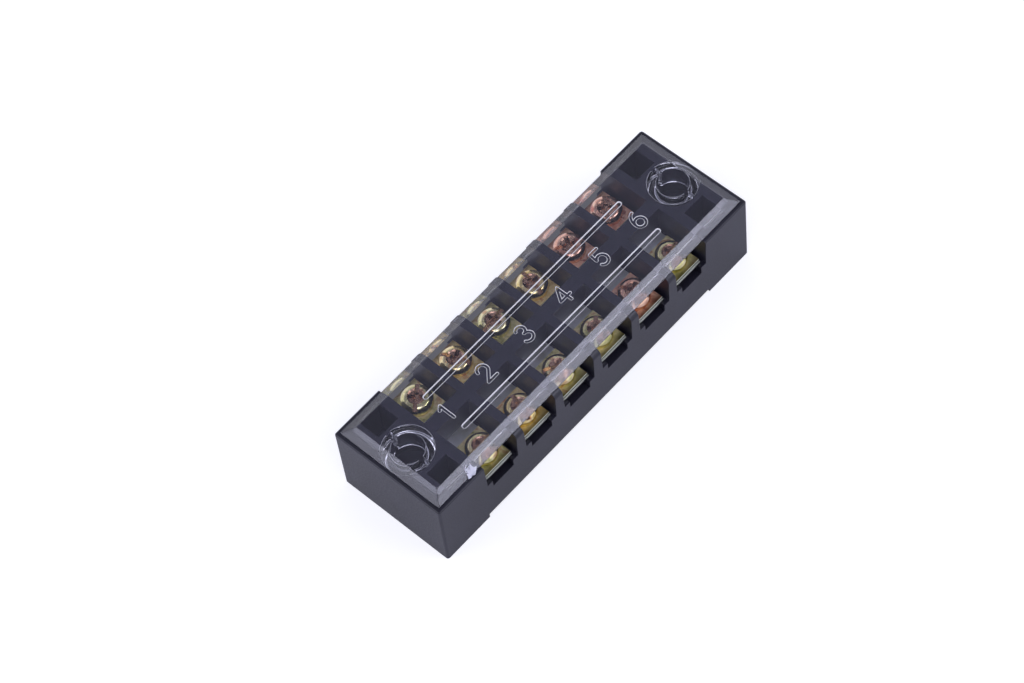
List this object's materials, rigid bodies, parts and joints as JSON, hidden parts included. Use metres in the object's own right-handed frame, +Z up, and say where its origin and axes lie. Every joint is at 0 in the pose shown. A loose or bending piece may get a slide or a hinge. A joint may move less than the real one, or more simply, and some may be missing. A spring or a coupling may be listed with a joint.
{
  "type": "barrier terminal strip",
  "caption": "Long black moulded terminal strip with open cells between barriers on both sides, clamp screws on plates, and a clear bevelled cover that presses on",
  "frame": {"origin": "middle of the underside, on the plane that the two end feet stand on", "axes": "+X along the row from position 1 to position 6, +Y towards the back row of terminals, +Z up through the cover"},
  "size_m": [0.0726, 0.022, 0.0164],
  "materials": {
    "black_moulding": "fine moulded satin",
    "clear_plastic": "clear moulded, polished",
    "strip_metal": "plated sheet",
    "washer_metal": "yellow chromated zinc",
    "screw_metal": "yellow chromated zinc, glossy"
  },
  "bodies": {
    "base": {"terminal_base": "black_moulding", "contact_strip_1": "strip_metal", "contact_strip_2": "strip_metal", "contact_strip_3": "strip_metal", "contact_strip_4": "strip_metal", "contact_strip_5": "strip_metal", "contact_strip_6": "strip_metal"},
    "cover": {"clear_cover": "clear_plastic"},
    "washer_front_1": {"clamp_washer_front_1": "washer_metal"},
    "screw_front_1": {"terminal_screw_front_1": "screw_metal"},
    "washer_back_1": {"clamp_washer_back_1": "washer_metal"},
    "screw_back_1": {"terminal_screw_back_1": "screw_metal"},
    "washer_front_2": {"clamp_washer_front_2": "washer_metal"},
    "screw_front_2": {"terminal_screw_front_2": "screw_metal"},
    "washer_back_2": {"clamp_washer_back_2": "washer_metal"},
    "screw_back_2": {"terminal_screw_back_2": "screw_metal"},
    "washer_front_3": {"clamp_washer_front_3": "washer_metal"},
    "screw_front_3": {"terminal_screw_front_3": "screw_metal"},
    "washer_back_3": {"clamp_washer_back_3": "washer_metal"},
    "screw_back_3": {"terminal_screw_back_3": "screw_metal"},
    "washer_front_4": {"clamp_washer_front_4": "washer_metal"},
    "screw_front_4": {"terminal_screw_front_4": "screw_metal"},
    "washer_back_4": {"clamp_washer_back_4": "washer_metal"},
    "screw_back_4": {"terminal_screw_back_4": "screw_metal"},
    "washer_front_5": {"clamp_washer_front_5": "washer_metal"},
    "screw_front_5": {"terminal_screw_front_5": "screw_metal"},
    "washer_back_5": {"clamp_washer_back_5": "washer_metal"},
    "screw_back_5": {"terminal_screw_back_5": "screw_metal"},
    "washer_front_6": {"clamp_washer_front_6": "washer_metal"},
    "screw_front_6": {"terminal_screw_front_6": "screw_metal"},
    "washer_back_6": {"clamp_washer_back_6": "washer_metal"},
    "screw_back_6": {"terminal_screw_back_6": "screw_metal"}
  },
  "joints": [
    {"name": "cover_lift", "type": "slide", "parent": "base", "child": "cover", "axis": [0, 0, 1], "range_m": [0, 0.015]},
    {"name": "washer_front_1_slide", "type": "slide", "parent": "base", "child": "washer_front_1", "axis": [0, 0, 1], "range_m": [0, 0.0025]},
    {"name": "screw_front_1_turn", "type": "hinge", "parent": "washer_front_1", "child": "screw_front_1", "pos_m": [-0.0225, -0.00675, 0.0102], "axis": [0, 0, 1], "range_deg": [0, 1801]},
    {"name": "washer_back_1_slide", "type": "slide", "parent": "base", "child": "washer_back_1", "axis": [0, 0, 1], "range_m": [0, 0.0025]},
    {"name": "screw_back_1_turn", "type": "hinge", "parent": "washer_back_1", "child": "screw_back_1", "pos_m": [-0.0225, 0.00675, 0.0102], "axis": [0, 0, 1], "range_deg": [0, 1801]},
    {"name": "washer_front_2_slide", "type": "slide", "parent": "base", "child": "washer_front_2", "axis": [0, 0, 1], "range_m": [0, 0.0025]},
    {"name": "screw_front_2_turn", "type": "hinge", "parent": "washer_front_2", "child": "screw_front_2", "pos_m": [-0.0135, -0.00675, 0.0102], "axis": [0, 0, 1], "range_deg": [0, 1801]},
    {"name": "washer_back_2_slide", "type": "slide", "parent": "base", "child": "washer_back_2", "axis": [0, 0, 1], "range_m": [0, 0.0025]},
    {"name": "screw_back_2_turn", "type": "hinge", "parent": "washer_back_2", "child": "screw_back_2", "pos_m": [-0.0135, 0.00675, 0.0102], "axis": [0, 0, 1], "range_deg": [0, 1801]},
    {"name": "washer_front_3_slide", "type": "slide", "parent": "base", "child": "washer_front_3", "axis": [0, 0, 1], "range_m": [0, 0.0025]},
    {"name": "screw_front_3_turn", "type": "hinge", "parent": "washer_front_3", "child": "screw_front_3", "pos_m": [-0.0045, -0.00675, 0.0102], "axis": [0, 0, 1], "range_deg": [0, 1801]},
    {"name": "washer_back_3_slide", "type": "slide", "parent": "base", "child": "washer_back_3", "axis": [0, 0, 1], "range_m": [0, 0.0025]},
    {"name": "screw_back_3_turn", "type": "hinge", "parent": "washer_back_3", "child": "screw_back_3", "pos_m": [-0.0045, 0.00675, 0.0102], "axis": [0, 0, 1], "range_deg": [0, 1801]},
    {"name": "washer_front_4_slide", "type": "slide", "parent": "base", "child": "washer_front_4", "axis": [0, 0, 1], "range_m": [0, 0.0025]},
    {"name": "screw_front_4_turn", "type": "hinge", "parent": "washer_front_4", "child": "screw_front_4", "pos_m": [0.0045, -0.00675, 0.0102], "axis": [0, 0, 1], "range_deg": [0, 1801]},
    {"name": "washer_back_4_slide", "type": "slide", "parent": "base", "child": "washer_back_4", "axis": [0, 0, 1], "range_m": [0, 0.0025]},
    {"name": "screw_back_4_turn", "type": "hinge", "parent": "washer_back_4", "child": "screw_back_4", "pos_m": [0.0045, 0.00675, 0.0102], "axis": [0, 0, 1], "range_deg": [0, 1801]},
    {"name": "washer_front_5_slide", "type": "slide", "parent": "base", "child": "washer_front_5", "axis": [0, 0, 1], "range_m": [0, 0.0025]},
    {"name": "screw_front_5_turn", "type": "hinge", "parent": "washer_front_5", "child": "screw_front_5", "pos_m": [0.0135, -0.00675, 0.0102], "axis": [0, 0, 1], "range_deg": [0, 1801]},
    {"name": "washer_back_5_slide", "type": "slide", "parent": "base", "child": "washer_back_5", "axis": [0, 0, 1], "range_m": [0, 0.0025]},
    {"name": "screw_back_5_turn", "type": "hinge", "parent": "washer_back_5", "child": "screw_back_5", "pos_m": [0.0135, 0.00675, 0.0102], "axis": [0, 0, 1], "range_deg": [0, 1801]},
    {"name": "washer_front_6_slide", "type": "slide", "parent": "base", "child": "washer_front_6", "axis": [0, 0, 1], "range_m": [0, 0.0025]},
    {"name": "screw_front_6_turn", "type": "hinge", "parent": "washer_front_6", "child": "screw_front_6", "pos_m": [0.0225, -0.00675, 0.0102], "axis": [0, 0, 1], "range_deg": [0, 1801]},
    {"name": "washer_back_6_slide", "type": "slide", "parent": "base", "child": "washer_back_6", "axis": [0, 0, 1], "range_m": [0, 0.0025]},
    {"name": "screw_back_6_turn", "type": "hinge", "parent": "washer_back_6", "child": "screw_back_6", "pos_m": [0.0225, 0.00675, 0.0102], "axis": [0, 0, 1], "range_deg": [0, 1801]}
  ],
  "couplings": [
    {"joint": "screw_front_1_turn", "follows": "washer_front_1_slide", "rad_per_m": 12566},
    {"joint": "screw_back_1_turn", "follows": "washer_back_1_slide", "rad_per_m": 12566},
    {"joint": "screw_front_2_turn", "follows": "washer_front_2_slide", "rad_per_m": 12566},
    {"joint": "screw_back_2_turn", "follows": "washer_back_2_slide", "rad_per_m": 12566},
    {"joint": "screw_front_3_turn", "follows": "washer_front_3_slide", "rad_per_m": 12566},
    {"joint": "screw_back_3_turn", "follows": "washer_back_3_slide", "rad_per_m": 12566},
    {"joint": "screw_front_4_turn", "follows": "washer_front_4_slide", "rad_per_m": 12566},
    {"joint": "screw_back_4_turn", "follows": "washer_back_4_slide", "rad_per_m": 12566},
    {"joint": "screw_front_5_turn", "follows": "washer_front_5_slide", "rad_per_m": 12566},
    {"joint": "screw_back_5_turn", "follows": "washer_back_5_slide", "rad_per_m": 12566},
    {"joint": "screw_front_6_turn", "follows": "washer_front_6_slide", "rad_per_m": 12566},
    {"joint": "screw_back_6_turn", "follows": "washer_back_6_slide", "rad_per_m": 12566}
  ]
}
